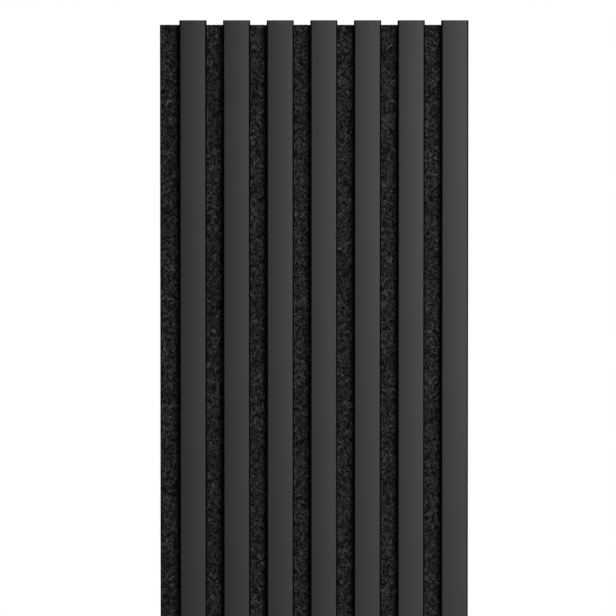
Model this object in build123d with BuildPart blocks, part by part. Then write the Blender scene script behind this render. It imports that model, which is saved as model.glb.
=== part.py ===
from build123d import *
import os

# A slatted acoustic wall panel, in millimetres.
# Seven dark strips stand upright on a sheet of pressed felt. Each strip is a black fibreboard core
# with bevelled front corners and a gently crowned front, which carries a thin charcoal facing.
# Wire staples hold each strip, driven through the felt from behind.
# The origin is the centre of the felt's back. +X is right as seen from the front, the front looks
# along -Y, the wall is at +Y, and +Z is up.

# Overall sizes
panel_length = 2400.0
panel_width = 300.0

# Felt sheet
felt_thickness = 9.0
felt_setback = 4.0
felt_strip = 19.2

# Slats
slat_count = 7
slat_width = 26.4
slat_thickness = 12.0
slat_bevel = 1.3
slat_crown = 0.6
facing_thickness = 0.5

# Staples, made of flat wire
staple_rows = 9
staple_end_distance = 60.0
staple_crown = 12.8
staple_bite = 5.3
staple_sink = 0.3
staple_tip = 0.45
wire_width = 0.95
wire_thickness = 0.65
wire_bend_radius = 0.65

# Sizes that follow
slat_pitch = (panel_width - felt_strip - slat_width) / (slat_count - 1)
first_slat_x = felt_strip + slat_width / 2 - panel_width / 2
slat_x = [first_slat_x + i * slat_pitch for i in range(slat_count)]
felt_length = panel_length - 2 * felt_setback
bevel_start = slat_thickness - slat_crown - slat_bevel
staple_pitch = (panel_length - 2 * staple_end_distance) / (staple_rows - 1)
staple_z = [staple_end_distance - panel_length / 2 + i * staple_pitch for i in range(staple_rows)]
leg_end = felt_thickness + staple_bite


def section_plane(x, y, z):
    """A level plane whose own Y axis points out of the panel's front."""
    return Plane(origin=(x, y, z), x_dir=(1, 0, 0), z_dir=(0, 0, -1))


# A staple seen from above: a crown bent down tightly into two legs, which have chisel tips.
leg_length = leg_end - staple_sink
with BuildSketch() as staple_outline:
    with Locations((0, staple_sink)):
        Rectangle(staple_crown, leg_length, align=(Align.CENTER, Align.MIN))
    bends = staple_outline.vertices().group_by(Axis.Y)[0]
    fillet(bends, radius=wire_bend_radius)
    with Locations((0, staple_sink + wire_thickness)):
        Rectangle(
            staple_crown - 2 * wire_thickness,
            leg_length - wire_thickness,
            align=(Align.CENTER, Align.MIN),
            mode=Mode.SUBTRACT,
        )
    leg_corners = staple_outline.vertices().group_by(Axis.Y)[-1].sort_by(Axis.X)
    chamfer([leg_corners[0], leg_corners[-1]], length=staple_tip)

with BuildPart() as staple:
    with BuildSketch(section_plane(0, 0, 0)):
        add(staple_outline.sketch)
    extrude(amount=wire_width / 2, both=True)

# The slot that a staple presses into the felt: its own outline, and the dimple behind its crown.
with BuildPart() as staple_slot:
    with BuildSketch(section_plane(0, 0, 0)):
        add(staple_outline.sketch)
        Rectangle(staple_crown, staple_sink + wire_thickness, align=(Align.CENTER, Align.MIN))
    extrude(amount=wire_width / 2, both=True)

# The felt sheet is cut square, a little shorter than the slats at both ends.
with BuildPart() as felt_backing:
    with BuildSketch(section_plane(0, 0, felt_length / 2)):
        with Locations((0, felt_thickness / 2)):
            Rectangle(panel_width, felt_thickness)
    extrude(amount=felt_length)
    with Locations(*[(x, 0, z) for x in slat_x for z in staple_z]):
        add(staple_slot.part, mode=Mode.SUBTRACT)
felt_backing.part.label = "felt_backing"

# A slat's section gets narrower up its bevels. The facing covers the crown between them and its
# edges are cut on the same slope, so its seat on the core is wider than its own front.
front_half_width = slat_width / 2 - slat_bevel
seat_half_width = front_half_width + facing_thickness
seat_depth = slat_thickness - facing_thickness


def crowned_line(half_width, height):
    """The gentle curve across a slat's front, as high as given at its middle."""
    return ThreePointArc(
        (-half_width, height - slat_crown),
        (0, height),
        (half_width, height - slat_crown),
    )


with BuildSketch() as core_section:
    with BuildLine():
        seat = crowned_line(seat_half_width, seat_depth)
        Polyline(
            seat @ 1,
            (slat_width / 2, bevel_start),
            (slat_width / 2, 0),
            (-slat_width / 2, 0),
            (-slat_width / 2, bevel_start),
            seat @ 0,
        )
    make_face()

with BuildSketch() as facing_section:
    with BuildLine():
        seat = crowned_line(seat_half_width, seat_depth)
        front = crowned_line(front_half_width, slat_thickness)
        Line(seat @ 0, front @ 0)
        Line(seat @ 1, front @ 1)
    make_face()

cores = []
facings = []
staple_sets = []
for number, x in enumerate(slat_x, start=1):
    slat_end = section_plane(x, -felt_thickness, panel_length / 2)
    staple_places = [(x, 0, z) for z in staple_z]

    with BuildPart() as slat_core:
        with BuildSketch(slat_end):
            add(core_section.sketch)
        extrude(amount=panel_length)
        with Locations(*staple_places):
            add(staple.part, mode=Mode.SUBTRACT)
    slat_core.part.label = f"slat_core_{number}"
    cores.append(slat_core.part)

    with BuildPart() as slat_face:
        with BuildSketch(slat_end):
            add(facing_section.sketch)
        extrude(amount=panel_length)
    slat_face.part.label = f"slat_face_{number}"
    facings.append(slat_face.part)

    with BuildPart() as staples:
        with Locations(*staple_places):
            add(staple.part)
    staples.part.label = f"staples_{number}"
    staple_sets.append(staples.part)

os.makedirs("parts", exist_ok=True)
for piece in [felt_backing.part] + cores + facings + staple_sets:
    export_step(piece, f"parts/{piece.label}.step")
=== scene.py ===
# %% [markdown]
# # A slatted acoustic panel
# The real panel is seven fibreboard strips, faced with a satin charcoal foil, on a sheet of black
# needled felt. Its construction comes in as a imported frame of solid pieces, in metres, with the
# origin on the wall at the middle of the felt. This script gives each piece its look. It never moves
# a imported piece: it only puts a finish on it, or lets a finer mesh of the same size stand for it.

import math

import bpy
import numpy as np
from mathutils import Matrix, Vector, noise


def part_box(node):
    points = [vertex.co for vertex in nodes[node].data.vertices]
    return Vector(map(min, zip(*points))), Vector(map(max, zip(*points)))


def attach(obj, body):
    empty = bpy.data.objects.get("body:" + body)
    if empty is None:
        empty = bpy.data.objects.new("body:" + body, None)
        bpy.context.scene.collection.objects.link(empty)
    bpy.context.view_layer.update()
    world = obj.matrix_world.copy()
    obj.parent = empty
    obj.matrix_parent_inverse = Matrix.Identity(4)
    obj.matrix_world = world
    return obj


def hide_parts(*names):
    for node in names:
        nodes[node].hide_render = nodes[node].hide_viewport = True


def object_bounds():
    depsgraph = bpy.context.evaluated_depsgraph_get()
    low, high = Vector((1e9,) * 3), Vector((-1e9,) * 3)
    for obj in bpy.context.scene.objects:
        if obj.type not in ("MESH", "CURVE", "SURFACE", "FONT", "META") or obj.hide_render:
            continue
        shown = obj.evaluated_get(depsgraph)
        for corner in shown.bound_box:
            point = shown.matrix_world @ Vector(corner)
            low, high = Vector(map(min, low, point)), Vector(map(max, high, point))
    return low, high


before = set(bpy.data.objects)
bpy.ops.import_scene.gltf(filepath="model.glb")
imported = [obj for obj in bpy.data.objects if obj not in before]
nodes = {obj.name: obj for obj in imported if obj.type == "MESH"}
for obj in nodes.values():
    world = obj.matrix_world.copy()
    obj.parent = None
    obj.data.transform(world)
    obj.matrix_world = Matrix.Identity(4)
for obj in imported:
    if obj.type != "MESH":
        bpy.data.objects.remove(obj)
cad_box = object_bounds()
MM = 0.001
print("the panel fills", [round(v, 4) for corner in cad_box for v in corner])

# %% [markdown]
# ## A few helpers
# Colours are picked as the eye sees them, as sRGB hex values, but light adds up in linear values, so
# one function converts them. Patterns are picked by their size in millimetres, and noise is set by
# how many lumps fit in a metre, so another function converts that. Materials are small networks, and
# one function adds a node with its settings and its links, so that each network reads as a list of
# steps. A Mix node has sockets of the same name for numbers, vectors and colours, so its colour
# sockets can only be told apart by their place in the row.

# %% Colour and node helpers
COLOUR_A = 6
COLOUR_B = 7
MIXED_COLOUR = 2


def linear(hex_colour):
    """A linear RGBA colour from an sRGB hex value such as 1F1F20."""
    channels = []
    for i in (0, 2, 4):
        c = int(hex_colour[i:i + 2], 16) / 255
        channels.append(c / 12.92 if c <= 0.04045 else ((c + 0.055) / 1.055) ** 2.4)
    return (*channels, 1.0)


def noise_scale(size_mm):
    """The scale at which noise has one lump in every size_mm."""
    return 1000 / size_mm


def add_node(tree, kind, values=None, links=None, **options):
    """Add one node: options are its own settings, values fill its sockets, links feed them."""
    made = tree.nodes.new(kind)
    for name, value in options.items():
        setattr(made, name, value)
    for socket, value in (values or {}).items():
        made.inputs[socket].default_value = value
    for socket, source in (links or {}).items():
        tree.links.new(source, made.inputs[socket])
    return made


def new_material(name):
    """An empty material, with its node tree."""
    material = bpy.data.materials.new(name)
    material.use_nodes = True
    material.node_tree.nodes.clear()
    return material, material.node_tree


print("charcoal 3C3C3D is", [round(c, 4) for c in linear("3C3C3D")[:3]], "in linear light")

# %% [markdown]
# ## The sizes that the looks need
# The frame's own boxes say where each piece is. What the boxes can't say, such as the thickness of
# the foil, is named here once. One node holds all the staples of a slat, so their rows are read from
# its points: these lie at two heights in each row, the lower and the upper side of the wire.

# %% Sizes from the frame
felt_low, felt_high = (Vector(corner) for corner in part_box("felt_backing"))
slat_count = sum(name.startswith("slat_core_") for name in nodes)
core_boxes = [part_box(f"slat_core_{i + 1}") for i in range(slat_count)]
slat_edges = [(low[0], high[0]) for low, high in core_boxes]
slat_centres = [(a + b) / 2 for a, b in slat_edges]
slat_top = core_boxes[0][1][2]
slat_bottom = core_boxes[0][0][2]
front_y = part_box("slat_face_1")[0][1]
FOIL = 0.5 * MM
CROWN = 0.6 * MM

staple_heights = sorted({round(v.co.z, 5) for v in nodes["staples_1"].data.vertices})
staple_rows_z = [(a + b) / 2 for a, b in zip(staple_heights[::2], staple_heights[1::2])]
print(slat_count, "slats, with their front at", round(front_y, 5))
print("staple rows at", [round(z, 3) for z in staple_rows_z])

# %% [markdown]
# ## The camera
# The photograph looks almost squarely at the upper end of the panel from far away: its upright lines
# draw together by only half a percent towards the bottom. That is a long lens about four metres off,
# a little above the middle of the view and tipped down by nearly two degrees. The lens could be
# matched by eye, but here it follows from how many millimetres one pixel of the 616 pixel frame
# covers on the slats, so the panel's size in the picture is right by construction. The camera sees
# far enough to reach the end of the floor.

# %% Camera
PHOTO_PIXELS = 616
MM_PER_PIXEL = 0.9724
CAMERA_DISTANCE = 4.0
CAMERA_TIP = math.radians(1.86)
TOP_ABOVE_CENTRE_PX = 287.3
PANEL_RIGHT_OF_CENTRE_PX = 6.0
SENSOR_MM = 36
CLIP_END = 200

pixel = MM_PER_PIXEL * MM
aim = Vector((-PANEL_RIGHT_OF_CENTRE_PX * pixel, front_y, slat_top - TOP_ABOVE_CENTRE_PX * pixel))
camera = bpy.data.objects.new("camera", bpy.data.cameras.new("camera"))
bpy.context.collection.objects.link(camera)
camera.location = aim + CAMERA_DISTANCE * Vector((0, -math.cos(CAMERA_TIP), math.sin(CAMERA_TIP)))
camera.rotation_euler = (aim - camera.location).to_track_quat("-Z", "Y").to_euler()
camera.data.sensor_width = SENSOR_MM
camera.data.lens = SENSOR_MM * CAMERA_DISTANCE / (PHOTO_PIXELS * pixel)
camera.data.clip_end = CLIP_END
bpy.context.scene.camera = camera
bpy.context.scene.view_settings.view_transform = "Standard"
print("lens", round(camera.data.lens, 1), "mm")

# %% [markdown]
# ## The floor
# The panel stands on its slat ends. A pale studio floor catches its shadow, and further out it turns
# into the white of the backdrop, so that no edge of the floor shows. A curved backdrop could do that
# too, but it would stand in the way of a camera behind the panel. Only what the camera sees is
# lifted to white: the light that the floor throws back stays that of pale paint.

# %% Floor
FLOOR_HALF = 60.0
FLOOR_FADE_START = 1.2
FLOOR_FADE_END = 4.5
FLOOR_GLOW = 0.30
MOTTLES_PER_METRE = 3.0


def studio_floor():
    """Pale matt floor paint that fades to the white backdrop away from the panel."""
    material, tree = new_material("pale_floor_paint")
    place = add_node(tree, "ShaderNodeTexCoord").outputs["Object"]
    flat = add_node(tree, "ShaderNodeVectorMath", {1: (1, 1, 0)}, {0: place}, operation="MULTIPLY")
    away = add_node(tree, "ShaderNodeVectorMath", None, {0: flat.outputs[0]}, operation="LENGTH")
    fade = add_node(
        tree, "ShaderNodeMapRange",
        {"From Min": FLOOR_FADE_START, "From Max": FLOOR_FADE_END},
        {"Value": away.outputs["Value"]}, interpolation_type="SMOOTHSTEP",
    )
    seen = add_node(tree, "ShaderNodeLightPath").outputs["Is Camera Ray"]
    share = add_node(tree, "ShaderNodeMath", None, {0: fade.outputs[0], 1: seen}, operation="MULTIPLY")
    mottle = add_node(
        tree, "ShaderNodeTexNoise", {"Scale": MOTTLES_PER_METRE, "Detail": 4.0}, {"Vector": place},
    )
    tone = add_node(
        tree, "ShaderNodeMix", {COLOUR_A: linear("E6E6E5"), COLOUR_B: linear("EEEEED")},
        {0: mottle.outputs["Fac"]}, data_type="RGBA",
    ).outputs[MIXED_COLOUR]
    paint = add_node(tree, "ShaderNodeBsdfDiffuse", None, {"Color": tone})
    glow_level = add_node(tree, "ShaderNodeMath", {1: FLOOR_GLOW}, {0: seen}, operation="MULTIPLY")
    glow = add_node(
        tree, "ShaderNodeEmission", {"Color": (1, 1, 1, 1)}, {"Strength": glow_level.outputs[0]},
    )
    near = add_node(tree, "ShaderNodeAddShader", None, {0: paint.outputs[0], 1: glow.outputs[0]})
    white = add_node(tree, "ShaderNodeEmission", {"Color": (1, 1, 1, 1), "Strength": 1.0})
    both = add_node(
        tree, "ShaderNodeMixShader", None,
        {0: share.outputs[0], 1: near.outputs[0], 2: white.outputs[0]},
    )
    add_node(tree, "ShaderNodeOutputMaterial", None, {"Surface": both.outputs[0]})
    return material


floor_z = cad_box[0][2]
signs = [(-1, -1), (1, -1), (1, 1), (-1, 1)]
floor_corners = [(FLOOR_HALF * x, FLOOR_HALF * y, floor_z) for x, y in signs]
floor_mesh = bpy.data.meshes.new("floor")
floor_mesh.from_pydata(floor_corners, [], [(0, 1, 2, 3)])
floor = bpy.data.objects.new("floor", floor_mesh)
bpy.context.collection.objects.link(floor)
floor_mesh.materials.append(studio_floor())
print("floor at", round(floor_z, 4))

# %% [markdown]
# ## The world
# The photograph is a dark thing in front of a white sweep. The room behind the panel is white, and
# the room on the camera's side is dim, which keeps the shadows between the slats black. The camera
# sees pure white wherever it looks past the panel and the floor, and metal sees the white sweep too.
# A background that changes with its direction and with the kind of ray can be all of these at once.

# %% World
DIM_SIDE = 0.04
SWEEP_LIGHT = 0.45
SWEEP_BLEND = 0.25

world = bpy.data.worlds.new("white_sweep")
bpy.context.scene.world = world
world.use_nodes = True
tree = world.node_tree
tree.nodes.clear()
direction = add_node(tree, "ShaderNodeTexCoord").outputs["Generated"]
split = add_node(tree, "ShaderNodeSeparateXYZ", None, {0: direction})
behind = add_node(
    tree, "ShaderNodeMapRange",
    {"From Min": 0.0, "From Max": SWEEP_BLEND},
    {"Value": split.outputs["Y"]}, interpolation_type="SMOOTHSTEP",
)
path = add_node(tree, "ShaderNodeLightPath")
sweep = add_node(
    tree, "ShaderNodeMapRange",
    {"To Min": SWEEP_LIGHT, "To Max": 1.0},
    {"Value": path.outputs["Is Glossy Ray"]},
)
sweep_seen = add_node(
    tree, "ShaderNodeMath", None, {0: sweep.outputs[0], 1: behind.outputs[0]}, operation="MULTIPLY",
)
dimmest = add_node(
    tree, "ShaderNodeMath", {1: DIM_SIDE}, {0: sweep_seen.outputs[0]}, operation="MAXIMUM",
)
level = add_node(
    tree, "ShaderNodeMath", None,
    {0: dimmest.outputs[0], 1: path.outputs["Is Camera Ray"]}, operation="MAXIMUM",
)
sky = add_node(tree, "ShaderNodeBackground", {"Color": (1, 1, 1, 1)}, {"Strength": level.outputs[0]})
add_node(tree, "ShaderNodeOutputWorld", None, {"Surface": sky.outputs[0]})
print("world: dim side", DIM_SIDE, "sweep", SWEEP_LIGHT)

# %% [markdown]
# ## The lamps
# All the light in the photograph comes from the right. Each slat throws a soft shadow on the felt to
# its left, which is black beside the slat and gone after about 8 mm. The slat's side is 11 mm high,
# so the source reaches from nearly in front to about 35 degrees off the panel's front. A soft box
# 1.5 m wide and a bit over two metres off, level with the top of the panel, spans 7 to 32 degrees.
# It is turned past the panel's right side, so its light weakens to the left, as it does from slat to
# slat in the photograph. A sun lamp could be as soft, but it would light every slat the same. A
# small box lights the lower part, which the photograph doesn't show, and another lights the back. A
# lamp's power is worked out from its area, so that a larger box is softer and not brighter to look
# at. In this light a white card on the upper slats would come out at about two thirds of full white.

# %% Lamps
def soft_box(name, place, target, width, height, radiance):
    """A rectangular soft lamp, as bright to look at as radiance says, however large it is."""
    data = bpy.data.lights.new(name, "AREA")
    data.shape = "RECTANGLE"
    data.size = width
    data.size_y = height
    data.energy = radiance * math.pi * width * height
    lamp = bpy.data.objects.new(name, data)
    bpy.context.collection.objects.link(lamp)
    lamp.location = place
    lamp.rotation_euler = (Vector(target) - Vector(place)).to_track_quat("-Z", "Y").to_euler()
    lamp.visible_camera = False
    print(name, round(data.energy, 1), "W")


soft_box(
    "key_box", place=(0.90, -2.15, 1.20), target=(2.00, 0, 1.20), width=1.5, height=1.0, radiance=10.0,
)
soft_box(
    "low_box", place=(0.95, -1.30, -0.25), target=(0, 0, -0.25), width=0.7, height=0.7, radiance=3.4,
)
soft_box(
    "rear_box", place=(0.9, 1.9, 0.9), target=(0, 0, 0.1), width=1.2, height=2.6, radiance=2.0,
)

# %% [markdown]
# ## Needled felt
# The backing is polyester fibre, dyed black and grey, laid in a thick web and punched with barbed
# needles until it is a stiff board. It has no weave: fibres lie every way, a few centimetres long
# and finer than a hair, in little tufts a millimetre or two across. To the eye it is a deep matt
# black with grey flecks. A real fibre is far too fine to show at a pixel to the millimetre, so the
# streaks and tufts here are drawn coarser: a streak is a millimetre wide and stands for a bundle.
# A picture of felt could do this, but stretched noise in three directions gives streaks that cross
# each other and never repeat.

# %% Felt streaks
STREAK_WIDTH_MM = 0.95
STREAK_LENGTH_MM = 5.5
STREAK_ANGLES = (38, 88, 140)


def crossing_streaks(tree, place):
    """Noise stretched three ways, and at each place the brightest of the three."""
    streaks = None
    for angle in STREAK_ANGLES:
        turned = add_node(
            tree, "ShaderNodeMapping",
            {"Rotation": (0, math.radians(angle), 0),
             "Scale": (STREAK_LENGTH_MM * MM, STREAK_WIDTH_MM * MM, STREAK_WIDTH_MM * MM)},
            {"Vector": place}, vector_type="TEXTURE",
        )
        layer = add_node(
            tree, "ShaderNodeTexNoise", {"Scale": 1.0, "Detail": 2.0, "Distortion": 0.5},
            {"Vector": turned.outputs[0]},
        ).outputs["Fac"]
        if streaks is None:
            streaks = layer
        else:
            streaks = add_node(
                tree, "ShaderNodeMath", None, {0: streaks, 1: layer}, operation="MAXIMUM",
            ).outputs[0]
    return streaks


print("streaks", STREAK_WIDTH_MM, "by", STREAK_LENGTH_MM, "mm, at", STREAK_ANGLES, "degrees")

# %% [markdown]
# The tufts decide where the streaks catch light, and broad clouds make some patches of the web a
# little thinner than others. The same network makes two felts. The second is darker: painted shade
# for the thin rim where the rounded cut edge turns away from the light.

# %% Felt material
TUFT_MM = 3.2
CLOUD_MM = 24


def needled_felt(name, darkest, brightest):
    """Black and grey polyester fibres: matt, tufted, with crossing streaks."""
    material, tree = new_material(name)
    place = add_node(tree, "ShaderNodeTexCoord").outputs["Object"]
    streaks = crossing_streaks(tree, place)
    tufts = add_node(
        tree, "ShaderNodeTexNoise",
        {"Scale": noise_scale(TUFT_MM), "Detail": 3.0, "Roughness": 0.65, "Distortion": 0.6},
        {"Vector": place},
    ).outputs["Fac"]
    lit_streaks = add_node(
        tree, "ShaderNodeMapRange", {"From Min": 0.50, "From Max": 0.80}, {"Value": streaks},
    ).outputs[0]
    lit_tufts = add_node(
        tree, "ShaderNodeMapRange", {"From Min": 0.38, "From Max": 0.64}, {"Value": tufts},
    ).outputs[0]
    clouds = add_node(
        tree, "ShaderNodeTexNoise", {"Scale": noise_scale(CLOUD_MM), "Detail": 2.0}, {"Vector": place},
    ).outputs["Fac"]
    thick = add_node(
        tree, "ShaderNodeMapRange", {"To Min": 0.55, "To Max": 1.45}, {"Value": clouds},
    ).outputs[0]
    lit = add_node(tree, "ShaderNodeMath", None, {0: lit_streaks, 1: lit_tufts}, operation="MULTIPLY")
    pile = add_node(tree, "ShaderNodeMath", None, {0: lit.outputs[0], 1: thick}, operation="MULTIPLY")
    tone = add_node(
        tree, "ShaderNodeMix", {COLOUR_A: linear(darkest), COLOUR_B: linear(brightest)},
        {0: pile.outputs[0]}, data_type="RGBA",
    ).outputs[MIXED_COLOUR]
    height = add_node(tree, "ShaderNodeMath", None, {0: streaks, 1: tufts}, operation="ADD")
    bump = add_node(
        tree, "ShaderNodeBump", {"Strength": 0.6, "Distance": 0.5 * MM}, {"Height": height.outputs[0]},
    )
    surface = add_node(
        tree, "ShaderNodeBsdfPrincipled",
        {"Roughness": 0.95, "IOR": 1.5, "Specular IOR Level": 0.1,
         "Sheen Weight": 0.05, "Sheen Roughness": 0.6},
        {"Base Color": tone, "Normal": bump.outputs[0]},
    )
    add_node(tree, "ShaderNodeOutputMaterial", None, {"Surface": surface.outputs[0]})
    return material


felt_material = needled_felt("needled_polyester_felt", "030303", "707070")
# Painted shade: a darker felt for the rim where the rounded cut edge turns away from the light.
painted_edge_shade_felt = needled_felt("felt_with_painted_edge_shade", "020202", "303030")
print("felt tufts", TUFT_MM, "mm, clouds", CLOUD_MM, "mm")

# %% [markdown]
# ## Black fibreboard
# The cores are medium density fibreboard, dyed black right through, with bevelled front corners.
# Ground wood fibre pressed with resin gives the eye a flat, near-black surface with a very fine grit.
# Plain black would do from afar, but close to it would look like plastic. So the black has a grit,
# drawn a few times as coarse as the real one, so that it shows.

# %% Fibreboard material
GRIT_MM = 0.6
BOARD_CLOUD_MM = 14


def black_fibreboard():
    """Through-dyed fibreboard: near black, matt, with a fine grit."""
    material, tree = new_material("black_dyed_fibreboard")
    place = add_node(tree, "ShaderNodeTexCoord").outputs["Object"]
    grit = add_node(
        tree, "ShaderNodeTexNoise",
        {"Scale": noise_scale(GRIT_MM), "Detail": 3.0, "Roughness": 0.7}, {"Vector": place},
    ).outputs["Fac"]
    cloud = add_node(
        tree, "ShaderNodeTexNoise", {"Scale": noise_scale(BOARD_CLOUD_MM), "Detail": 2.0},
        {"Vector": place},
    ).outputs["Fac"]
    mixed = add_node(tree, "ShaderNodeMath", None, {0: grit, 1: cloud}, operation="MULTIPLY")
    tone = add_node(
        tree, "ShaderNodeMix", {COLOUR_A: linear("030303"), COLOUR_B: linear("0D0D0D")},
        {0: mixed.outputs[0]}, data_type="RGBA",
    ).outputs[MIXED_COLOUR]
    bump = add_node(tree, "ShaderNodeBump", {"Strength": 0.4, "Distance": 0.1 * MM}, {"Height": grit})
    surface = add_node(
        tree, "ShaderNodeBsdfPrincipled", {"Roughness": 0.85, "IOR": 1.5, "Specular IOR Level": 0.06},
        {"Base Color": tone, "Normal": bump.outputs[0]},
    )
    add_node(tree, "ShaderNodeOutputMaterial", None, {"Surface": surface.outputs[0]})
    return material


fibreboard = black_fibreboard()
for i in range(slat_count):
    nodes[f"slat_core_{i + 1}"].material_slots[0].material = fibreboard
print("fibreboard on", slat_count, "cores")

# %% [markdown]
# ## Charcoal foil
# The fronts are faced with a thick charcoal foil under a satin lacquer. Much of its brightness in
# the photograph is sheen: each face brightens evenly from left to right, because its slight crown
# turns it towards the soft box. A lighter matt colour could reach the same level, but not that
# change across each face. So the colour is darker than it looks, the IOR is that of lacquer, and the
# roughness is what spreads the soft box over the whole face. The bevels are cut after the foil is on
# and stained black, foil edge and board alike, so the eye sees a thin black line along each side of
# a face.

# %% Foil materials
FOIL_DRIFT_MM = 60
ORANGE_PEEL_MM = 1.2
SAW_MARK_MM = 0.8


def charcoal_foil():
    """Satin lacquered foil: smooth charcoal, with a faint orange peel."""
    material, tree = new_material("satin_charcoal_foil")
    place = add_node(tree, "ShaderNodeTexCoord").outputs["Object"]
    drift = add_node(
        tree, "ShaderNodeTexNoise", {"Scale": noise_scale(FOIL_DRIFT_MM), "Detail": 2.0},
        {"Vector": place},
    ).outputs["Fac"]
    tone = add_node(
        tree, "ShaderNodeMix", {COLOUR_A: linear("252525"), COLOUR_B: linear("292929")},
        {0: drift}, data_type="RGBA",
    ).outputs[MIXED_COLOUR]
    peel = add_node(
        tree, "ShaderNodeTexNoise", {"Scale": noise_scale(ORANGE_PEEL_MM), "Detail": 2.0},
        {"Vector": place},
    ).outputs["Fac"]
    satin = add_node(tree, "ShaderNodeMapRange", {"To Min": 0.53, "To Max": 0.57}, {"Value": peel})
    bump = add_node(tree, "ShaderNodeBump", {"Strength": 0.1, "Distance": 0.02 * MM}, {"Height": peel})
    surface = add_node(
        tree, "ShaderNodeBsdfPrincipled", {"IOR": 1.5, "Specular IOR Level": 0.4},
        {"Base Color": tone, "Roughness": satin.outputs[0], "Normal": bump.outputs[0]},
    )
    add_node(tree, "ShaderNodeOutputMaterial", None, {"Surface": surface.outputs[0]})
    return material


def stained_edge():
    """The cut edge of the foil under black stain: dull, with fine saw marks."""
    material, tree = new_material("black_edge_stain")
    place = add_node(tree, "ShaderNodeTexCoord").outputs["Object"]
    saw_marks = add_node(
        tree, "ShaderNodeTexNoise", {"Scale": noise_scale(SAW_MARK_MM), "Detail": 3.0},
        {"Vector": place},
    ).outputs["Fac"]
    tone = add_node(
        tree, "ShaderNodeMix", {COLOUR_A: linear("020202"), COLOUR_B: linear("090909")},
        {0: saw_marks}, data_type="RGBA",
    ).outputs[MIXED_COLOUR]
    bump = add_node(
        tree, "ShaderNodeBump", {"Strength": 0.3, "Distance": 0.05 * MM}, {"Height": saw_marks},
    )
    surface = add_node(
        tree, "ShaderNodeBsdfPrincipled", {"Roughness": 0.9, "IOR": 1.5, "Specular IOR Level": 0.05},
        {"Base Color": tone, "Normal": bump.outputs[0]},
    )
    add_node(tree, "ShaderNodeOutputMaterial", None, {"Surface": surface.outputs[0]})
    return material


foil = charcoal_foil()
edge_stain = stained_edge()
print("foil", FOIL / MM, "mm thick")

# %% [markdown]
# ## Staple wire
# The staples are flattened steel wire with a thin zinc coat. The eye gets a cool grey metal with
# faint lines along the wire, where it was drawn through its die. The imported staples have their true
# shape, so they keep it and only take this finish. Noise that is long one way and very fine the other
# way stands for the lines, and varies both the tone and the blur.

# %% Wire material
DRAWN_WIDTH_MM = 0.15
DRAWN_LENGTH_MM = 4


def galvanised_wire():
    """Zinc coated steel wire: cool grey metal with faint drawing lines."""
    material, tree = new_material("galvanised_steel_wire")
    place = add_node(tree, "ShaderNodeTexCoord").outputs["Object"]
    long = noise_scale(DRAWN_LENGTH_MM)
    fine = noise_scale(DRAWN_WIDTH_MM)
    along = add_node(tree, "ShaderNodeMapping", {"Scale": (long, long, fine)}, {"Vector": place})
    lines = add_node(
        tree, "ShaderNodeTexNoise", {"Scale": 1.0, "Detail": 2.0}, {"Vector": along.outputs[0]},
    ).outputs["Fac"]
    tone = add_node(
        tree, "ShaderNodeMix", {COLOUR_A: linear("B4B6B8"), COLOUR_B: linear("D2D4D5")},
        {0: lines}, data_type="RGBA",
    ).outputs[MIXED_COLOUR]
    blur = add_node(tree, "ShaderNodeMapRange", {"To Min": 0.28, "To Max": 0.45}, {"Value": lines})
    bump = add_node(tree, "ShaderNodeBump", {"Strength": 0.3, "Distance": 0.02 * MM}, {"Height": lines})
    surface = add_node(
        tree, "ShaderNodeBsdfPrincipled", {"Metallic": 1.0},
        {"Base Color": tone, "Roughness": blur.outputs[0], "Normal": bump.outputs[0]},
    )
    add_node(tree, "ShaderNodeOutputMaterial", None, {"Surface": surface.outputs[0]})
    return material


wire = galvanised_wire()
for i in range(slat_count):
    nodes[f"staples_{i + 1}"].material_slots[0].material = wire
print("wire on", slat_count, "rows of staples")

# %% [markdown]
# ## The facings
# Each facing is one long skin of foil over the crowned front of its slat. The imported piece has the
# right size, but its crown is only a few flats, and the sheen would show them. So a finer skin
# stands for it, swept from a section: the crowned front, a tiny rounding where it is cut, the 45
# degree cut itself, and the seat on the core. All but the front wears the black stain, and so do
# the last few tenths of a millimetre of the front at both ends. A face belongs to the front when its
# normal points almost straight forward, along -Y.

# %% Facing meshes
CROWN_STEPS = 16
EDGE_CUT = 0.12 * MM
EDGE_STEPS = 3
BEVEL_ANGLE = math.radians(45)
STAINED_END = 0.4 * MM
FRONT_NORMAL_Y = -0.95


def finish_piece(name, mesh, material, slot, *replaced):
    """Put a mesh in the scene as a piece of the panel."""
    mesh.validate()
    mesh.update()
    piece = bpy.data.objects.new(name, mesh)
    bpy.context.collection.objects.link(piece)
    mesh.materials.append(material)
    mesh.polygons.foreach_set("use_smooth", [True] * len(mesh.polygons))
    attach(piece, "root")
    if replaced:
        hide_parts(*replaced)
    return piece


def facing_section(low, high):
    """The foil's outline across the slat, as x and y, round from the left edge of its front."""
    centre = (low[0] + high[0]) / 2
    seat_half = (high[0] - low[0]) / 2
    flat_half = seat_half - FOIL - EDGE_CUT
    front = []
    for k in range(CROWN_STEPS + 1):
        u = 2 * k / CROWN_STEPS - 1
        front.append((centre + u * flat_half, front_y + CROWN * u * u))
    edge_radius = EDGE_CUT / math.tan(BEVEL_ANGLE / 2)
    right_edge = []
    for k in range(1, EDGE_STEPS + 1):
        turn = BEVEL_ANGLE * k / EDGE_STEPS
        out = edge_radius * math.sin(turn)
        back = edge_radius * (1 - math.cos(turn))
        right_edge.append((centre + flat_half + out, front_y + CROWN + back))
    left_edge = [(2 * centre - x, y) for x, y in reversed(right_edge)]
    seat = []
    for k in range(CROWN_STEPS + 1):
        u = 1 - 2 * k / CROWN_STEPS
        seat.append((centre + u * seat_half, front_y + FOIL + CROWN * u * u))
    return front + right_edge + seat + left_edge


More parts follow.
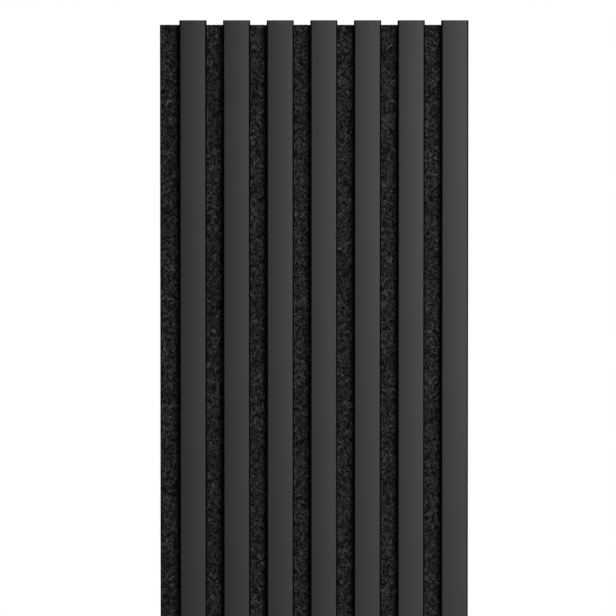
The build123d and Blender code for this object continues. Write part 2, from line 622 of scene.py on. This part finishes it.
def facing_mesh(name, low, high):
    """The section swept up the slat, and closed at both ends."""
    section = facing_section(low, high)
    count = len(section)
    ends = (low[2], low[2] + STAINED_END, high[2] - STAINED_END, high[2])
    points = [(x, y, z) for z in ends for x, y in section]
    faces = []
    for ring in range(len(ends) - 1):
        for k in range(count):
            a = ring * count + k
            b = ring * count + (k + 1) % count
            faces.append((a, b, b + count, a + count))
    faces.append(tuple(reversed(range(count))))
    faces.append(tuple(range((len(ends) - 1) * count, len(ends) * count)))
    mesh = bpy.data.meshes.new(name)
    mesh.from_pydata(points, [], faces)
    return mesh


for i in range(slat_count):
    low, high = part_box(f"slat_face_{i + 1}")
    name = f"facing_{i + 1}"
    piece = finish_piece(name, facing_mesh(name, low, high), foil, "facing", f"slat_face_{i + 1}")
    piece.data.materials.append(edge_stain)
    for face in piece.data.polygons:
        at_end = not slat_bottom + STAINED_END < face.center.z < slat_top - STAINED_END
        face.material_index = int(at_end or face.normal.y > FRONT_NORMAL_Y)
        face.use_smooth = face.material_index == 0
print("facings:", len(piece.data.polygons), "faces each")

# %% [markdown]
# ## The felt sheet
# Needled felt is a stiff board with a lumpy skin: tufts stand up by a few tenths of a millimetre, the
# slats press it flat where they sit, its cut edges are slightly rounded and ragged, and each staple
# pulls a dimple into its back. The imported board is a plain slab, so a finer sheet of the same size
# stands for it. Its front is a grid that is fine in the open strips and has one column under each
# slat. Its back is a much coarser grid, crowded only round the staples. Both are closed by a ragged
# rim, and the rim's last band joins a fine edge to a coarse one. A darker felt, painted shade for the
# rounded cut edge, is on the front's outermost millimetre and on the near part of the rim.

# %% Grid lines and lumps
STRIP_STEP = 1.6 * MM
LENGTH_STEP = 2.8 * MM
RIM_LINES = (0.25 * MM, 0.6 * MM, 1.0 * MM)
STEP_SLACK = 0.001


def ruled(stops, step):
    """Lines through all the stops, evenly spaced between them, no further apart than step."""
    lines = [stops[0]]
    for a, b in zip(stops, stops[1:]):
        parts = max(1, math.ceil((b - a) / step - STEP_SLACK))
        lines += [a + (b - a) * k / parts for k in range(1, parts + 1)]
    return lines


def lumps(x, z, size, seed):
    """Smooth noise over the sheet, about from -1 to 1, with lumps of one size."""
    return noise.noise(Vector((x / size, seed, z / size)))


strips = list(zip([felt_low.x] + [b for a, b in slat_edges[:-1]], [a for a, b in slat_edges]))
print("open strips, mm wide:", [round((b - a) / MM, 1) for a, b in strips])

# %% [markdown]
# The height of the front is lumps of two sizes, less what the slats press down and what the rounded
# rim takes off. The back is nearly flat, with a dimple round each staple and a slot for its crown.

# %% Heights of the two faces
SWELL = 0.2 * MM
TUFT_HEIGHT = 0.26 * MM
TUFT_SIZE = 1.7 * MM
LUMP_HEIGHT = 0.2 * MM
LUMP_SIZE = 4.5 * MM
PRESSED = 0.02 * MM
PRESS_REACH = 0.9 * MM
RIM_ROUND = 1.0 * MM
RIM_DROP = 0.7 * MM
BACK_WAVE_HEIGHT = 0.06 * MM
BACK_WAVE_SIZE = 9 * MM
DIMPLE_DEPTH = 0.4 * MM
DIMPLE_REACH = 3.0 * MM
SLOT_DEPTH = 1.3 * MM
SLOT_PLAY = 0.05 * MM
TUFT_SEED = 3.0
LUMP_SEED = 8.0
BACK_SEED = 5.0
staple_half = (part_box("staples_1")[1][0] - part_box("staples_1")[0][0]) / 2
wire_half = (staple_heights[1] - staple_heights[0]) / 2
staple_places = [(x, z) for x in slat_centres for z in staple_rows_z]


def front_height(x, z):
    """How far the felt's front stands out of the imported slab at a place."""
    tuft = TUFT_HEIGHT * lumps(x, z, TUFT_SIZE, TUFT_SEED)
    relief = tuft + LUMP_HEIGHT * lumps(x, z, LUMP_SIZE, LUMP_SEED)
    to_slat = min(max(a - x, x - b, 0.0) for a, b in slat_edges)
    free = 1 - math.exp(-to_slat / PRESS_REACH)
    to_rim = min(x - felt_low.x, z - felt_low.z, felt_high.z - z)
    cut = min(max(0.0, 1 - to_rim / RIM_ROUND), 1.0)
    return free * (SWELL + relief) - PRESSED - RIM_DROP * (1 - math.sqrt(1 - cut * cut))


def back_depth(x, z):
    """How far the felt's back lies inside the wall plane at a place."""
    depth = BACK_WAVE_HEIGHT * (1 + lumps(x, z, BACK_WAVE_SIZE, BACK_SEED))
    for sx, sz in staple_places:
        dx = abs(x - sx) - staple_half
        dz = abs(z - sz) - wire_half
        if dx < DIMPLE_REACH * 2 and dz < DIMPLE_REACH * 2:
            if max(dx, dz) < SLOT_PLAY:
                return SLOT_DEPTH
            away = math.hypot(max(dx, 0), max(dz, 0)) / DIMPLE_REACH
            depth += DIMPLE_DEPTH * math.exp(-away * away)
    return depth


print(len(staple_places), "staples at the back, wire", round(2 * wire_half / MM, 2), "mm wide")

# %% [markdown]
# A grid is a list of columns and rows, so its outline can be read off it side by side, and two
# outlines of different spacing can be joined by walking along both at once.

# %% Grids and joins
def grid(xs, zs, depth_at, first, flip):
    """Points and faces of a grid of columns and rows, and its outline as four sides."""
    points = [(x, depth_at(x, z), z) for z in zs for x in xs]
    wide = len(xs)
    tall = len(zs)
    faces = []
    for j in range(tall - 1):
        for i in range(wide - 1):
            a = first + j * wide + i
            quad = (a, a + 1, a + 1 + wide, a + wide)
            faces.append(tuple(reversed(quad)) if flip else quad)
    bottom = [first + i for i in range(wide)]
    right = [first + j * wide + wide - 1 for j in range(tall)]
    top = [first + (tall - 1) * wide + i for i in reversed(range(wide))]
    left = [first + j * wide for j in reversed(range(tall))]
    return points, faces, [bottom, right, top, left]


def join_sides(points, side_a, side_b):
    """Triangles between two rows of points that run the same way but have different spacing."""
    def along(side):
        ends = Vector(points[side[-1]]) - Vector(points[side[0]])
        axis = 0 if abs(ends.x) > abs(ends.z) else 2
        start = points[side[0]][axis]
        return [(points[k][axis] - start) / ends[axis] for k in side]

    at_a = along(side_a) + [math.inf]
    at_b = along(side_b) + [math.inf]
    i = 0
    j = 0
    faces = []
    while i < len(side_a) - 1 or j < len(side_b) - 1:
        if at_a[i + 1] <= at_b[j + 1]:
            faces.append((side_a[i], side_b[j], side_a[i + 1]))
            i += 1
        else:
            faces.append((side_a[i], side_b[j], side_b[j + 1]))
            j += 1
    return faces


print("a 2 by 2 grid has", len(grid([0, 1], [0, 1], lambda x, z: 0, 0, False)[1]), "face")

# %% [markdown]
# The rim's rings copy the front's outline at other depths, each pushed in or out by a little noise,
# mostly in, so that the rag stays within the cut size.

# %% The ragged rim
RIM_DEPTHS = (1.6 * MM, 4.0 * MM, 6.6 * MM)
RAGGED = 0.22 * MM
RAG_SIZE = 1.5 * MM
RAG_INWARD = 0.4
RIM_SEED = 20.0


def rim_ring(points, outline, depth, seed):
    """Copy an outline to another depth, ragged: the four sides of the new ring."""
    out = ((0, -1), (1, 0), (0, 1), (-1, 0))
    ring = []
    made = {}
    for side, (nx, nz) in zip(outline, out):
        new_side = []
        for k in side:
            x, y, z = points[k]
            if k not in made:
                push = RAGGED * (lumps(x + depth, z, RAG_SIZE, seed) - RAG_INWARD)
                made[k] = len(points)
                points.append((x + nx * push, felt_low.y + depth, z + nz * push))
            new_side.append(made[k])
        ring.append(new_side)
    return ring


print("rim rings", [round(depth / MM, 1) for depth in RIM_DEPTHS], "mm behind the front")

# %% [markdown]
# The columns and rows of each face are ruled through the places that need one: the slats' edges and
# the rim on the front, and each staple's slot and dimple on the back. The first open strip runs out
# to the cut edge, and the others lie between two slats.

# %% Columns and rows
CROWN_STOPS = (0.0, staple_half, staple_half + 0.2 * MM, 9.5 * MM)
ROW_STOPS = (wire_half, wire_half + 0.15 * MM, 1.4 * MM, 4.0 * MM)
BACK_STEP = 12.5 * MM


def both_sides(distances):
    """The distances to the left and to the right of a middle, in order."""
    return sorted({-d for d in distances} | set(distances))


def front_lines():
    """Columns and rows of the front: fine in the open strips, one column under each slat."""
    rim_left = [felt_low.x + r for r in RIM_LINES]
    xs = [felt_low.x]
    for number, (a, b) in enumerate(strips):
        stops = [a] + rim_left + [b] if number == 0 else [a, b]
        xs += ruled(stops, STRIP_STEP)[1:]
        xs.append(slat_edges[number][1])
    rim_low = [felt_low.z] + [felt_low.z + r for r in RIM_LINES]
    rim_high = [felt_high.z - r for r in reversed(RIM_LINES)] + [felt_high.z]
    return xs, ruled(rim_low + rim_high, LENGTH_STEP)


def back_lines():
    """Columns and rows of the back: crowded at the staples and coarse between them."""
    crown_stops = [x + d for x in slat_centres for d in both_sides(CROWN_STOPS)]
    row_stops = [z + d for z in staple_rows_z for d in both_sides(ROW_STOPS)]
    xs = ruled([felt_low.x] + crown_stops + [felt_high.x], BACK_STEP)
    return xs, ruled([felt_low.z] + row_stops + [felt_high.z], BACK_STEP)


print("front:", [len(lines) for lines in front_lines()], "columns and rows")
print("back:", [len(lines) for lines in back_lines()], "columns and rows")

# %% [markdown]
# Now the sheet is put together: the front's grid, the rings of the rim, the back's grid and the band
# that joins them. A displaced and thickened plane could give the two faces, but it would be as fine
# at the back as at the front, and it would have no slots.

# %% Felt sheet mesh
def felt_sheet_mesh():
    """The whole sheet: fine front, ragged rim, coarse back with its staple dimples."""
    points, faces, outline = grid(
        *front_lines(), lambda x, z: felt_low.y - front_height(x, z), 0, False,
    )
    for number, depth in enumerate(RIM_DEPTHS):
        ring = rim_ring(points, outline, depth, RIM_SEED + number)
        for side_a, side_b in zip(outline, ring):
            for k in range(len(side_a) - 1):
                faces.append((side_a[k], side_b[k], side_b[k + 1], side_a[k + 1]))
        outline = ring
    back, back_faces, back_outline = grid(
        *back_lines(), lambda x, z: felt_high.y - back_depth(x, z), len(points), True,
    )
    points += back
    faces += back_faces
    for side_a, side_b in zip(outline, back_outline):
        faces += join_sides(points, side_a, side_b)
    mesh = bpy.data.meshes.new("felt_sheet")
    mesh.from_pydata(points, [], faces)
    return mesh


felt_sheet = finish_piece("felt_sheet", felt_sheet_mesh(), felt_material, "felt", "felt_backing")
# The darker felt on the front's outermost millimetre and the near rim is painted edge shade.
felt_sheet.data.materials.append(painted_edge_shade_felt)
for face in felt_sheet.data.polygons:
    x, y, z = face.center
    to_rim = min(x - felt_low.x, z - felt_low.z, felt_high.z - z)
    face.material_index = int(to_rim < RIM_LINES[-1] and y < felt_low.y + RIM_DEPTHS[0])
triangles = sum(len(p.vertices) - 2 for p in felt_sheet.data.polygons)
print("felt sheet:", triangles, "triangles")

# %% [markdown]
# ## Loose fibres
# The needles leave fibres lying loose on the skin of the felt, most of them black and a few pale
# grey, and the cut edges are hairy. They catch the light one by one, which no bump can do, so some
# are real pieces here: thin three-sided threads, each one bent in the middle, with its ends sunk in
# the felt. A real one is 0.02 mm thick and could not be seen, so they are drawn ten times as thick,
# and far fewer. A random number for each loose thread gives it its own grey.

# %% Fibre material
FIBRE_RADIUS = 0.1 * MM
FIBRE_SHADE_MM = 1.5


def loose_fibre():
    """Single polyester fibres: dull grey threads, each with a grey of its own."""
    material, tree = new_material("loose_polyester_fibre")
    place = add_node(tree, "ShaderNodeTexCoord").outputs["Object"]
    own = add_node(tree, "ShaderNodeNewGeometry").outputs["Random Per Island"]
    mostly_dark = add_node(tree, "ShaderNodeMath", {1: 2.0}, {0: own}, operation="POWER")
    tone = add_node(
        tree, "ShaderNodeMix", {COLOUR_A: linear("080808"), COLOUR_B: linear("6C6C6C")},
        {0: mostly_dark.outputs[0]}, data_type="RGBA",
    ).outputs[MIXED_COLOUR]
    along = add_node(
        tree, "ShaderNodeTexNoise", {"Scale": noise_scale(FIBRE_SHADE_MM), "Detail": 2.0},
        {"Vector": place},
    )
    shade = add_node(
        tree, "ShaderNodeMapRange", {"To Min": 0.7, "To Max": 1.2}, {"Value": along.outputs["Fac"]},
    )
    worn = add_node(
        tree, "ShaderNodeVectorMath", None,
        {0: tone, "Scale": shade.outputs[0]}, operation="SCALE",
    )
    surface = add_node(
        tree, "ShaderNodeBsdfPrincipled", {"Roughness": 0.7, "IOR": 1.5, "Specular IOR Level": 0.2},
        {"Base Color": worn.outputs[0]},
    )
    add_node(tree, "ShaderNodeOutputMaterial", None, {"Surface": surface.outputs[0]})
    return material


fibre_material = loose_fibre()
print("fibres drawn", 2 * FIBRE_RADIUS / MM, "mm thick")

# %% [markdown]
# A hair system could strew the threads, but its hairs stand on one end, and these lie with both ends
# in the felt. So each is a small mesh: a triangle of points round each of three places, skinned and
# closed at both ends.

# %% One fibre
FIBRE_TAPER = 0.6
FIBRE_SIDES = 3
FIBRE_FACES = 2 * FIBRE_SIDES + 2


def add_fibre(points, faces, places):
    """A three-sided thread through three places, with both ends closed."""
    first = len(points)
    along = (places[2] - places[0]).normalized()
    side = along.cross(Vector((0, -1, 0))).normalized()
    up = side.cross(along)
    for place, taper in zip(places, (FIBRE_TAPER, 1.0, FIBRE_TAPER)):
        for k in range(FIBRE_SIDES):
            turn = 2 * math.pi * k / FIBRE_SIDES + math.pi / 2
            arm = math.cos(turn) * side + math.sin(turn) * up
            points.append(place + FIBRE_RADIUS * taper * arm)
    last = len(points) - FIBRE_SIDES
    for ring in range(first, last, FIBRE_SIDES):
        for k in range(FIBRE_SIDES):
            a = ring + k
            b = ring + (k + 1) % FIBRE_SIDES
            faces.append((a, b, b + FIBRE_SIDES, a + FIBRE_SIDES))
    faces.append(tuple(reversed(range(first, first + FIBRE_SIDES))))
    faces.append(tuple(range(last, last + FIBRE_SIDES)))


print("each fibre has", FIBRE_FACES, "faces")

# %% [markdown]
# The fibres are strewn at random over each open strip. Every strip has a seed of its own, so they
# fall in the same places on every run. A fibre keeps clear of the slats, and may hang a little past
# the cut ends.

# %% Fibre meshes
FIBRES_PER_MM2 = 0.11
FIBRE_HALF_MM = (1.2, 3.4)
FIBRE_BOW_MM = 0.9
FIBRE_SINK_MM = 0.04
FIBRE_LIFT_MM = (0.06, 0.22)
FIBRE_CLEAR = 0.3 * MM
FIBRE_HANG = 0.5 * MM
FIRST_SEED = 40


def fibre_mesh(name, left, right, seed):
    """Fibres scattered over one open strip, with both ends of each in the felt."""
    chance = np.random.default_rng(seed)
    area = (right - left) * (felt_high.z - felt_low.z) / MM ** 2
    points = []
    faces = []
    for _ in range(int(FIBRES_PER_MM2 * area)):
        angle = chance.uniform(0, math.pi)
        reach = chance.uniform(*FIBRE_HALF_MM) * MM
        bow = chance.uniform(-FIBRE_BOW_MM, FIBRE_BOW_MM) * MM
        way = Vector((math.cos(angle), 0, math.sin(angle)))
        aside = Vector((-way.z, 0, way.x))
        half_x = abs(way.x) * reach + abs(aside.x * bow)
        low_x = left + half_x + FIBRE_CLEAR
        high_x = right - half_x - FIBRE_CLEAR
        middle = Vector((chance.uniform(low_x, high_x), 0, chance.uniform(felt_low.z, felt_high.z)))
        places = [middle - way * reach, middle + aside * bow, middle + way * reach]
        lifts = (-FIBRE_SINK_MM, chance.uniform(*FIBRE_LIFT_MM), -FIBRE_SINK_MM)
        for place, lift in zip(places, lifts):
            place.z = min(max(place.z, felt_low.z - FIBRE_HANG), felt_high.z + FIBRE_HANG)
            place.y = felt_low.y - front_height(place.x, place.z) - lift * MM
        add_fibre(points, faces, places)
    mesh = bpy.data.meshes.new(name)
    mesh.from_pydata(points, [], faces)
    return mesh


for i, (left, right) in enumerate(strips):
    name = f"felt_fibres_{i + 1}"
    piece = finish_piece(name, fibre_mesh(name, left, right, FIRST_SEED + i), fibre_material, "felt")
    print(name, len(piece.data.polygons) // FIBRE_FACES, "fibres")
